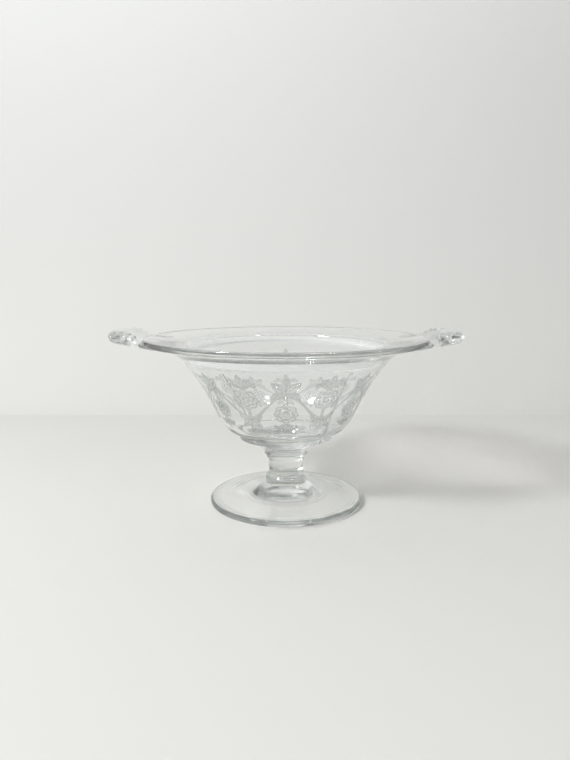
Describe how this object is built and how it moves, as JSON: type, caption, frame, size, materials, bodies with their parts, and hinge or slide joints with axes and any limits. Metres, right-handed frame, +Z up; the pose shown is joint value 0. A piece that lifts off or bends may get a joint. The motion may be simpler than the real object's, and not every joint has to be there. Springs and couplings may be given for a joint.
{
  "type": "footed compote bowl",
  "caption": "Clear glass compote: flared bowl with a wide flat rim, open side handles, a collar, a short waisted stem and a round foot.",
  "frame": {"origin": "middle of the foot's underside, on the table", "axes": "+Z up along the axis of the bowl, X through both handles, front at -Y"},
  "size_m": [0.1906, 0.152, 0.0955],
  "materials": {
    "bowl_glass": "clear, fire polished, with an etched band",
    "foot_glass": "clear, fire polished",
    "handle_glass": "clear, fire polished"
  },
  "bodies": {
    "root": {"bowl": "bowl_glass", "collar": "foot_glass", "stem": "foot_glass", "foot": "foot_glass", "left_handle": "handle_glass", "right_handle": "handle_glass"}
  },
  "joints": []
}
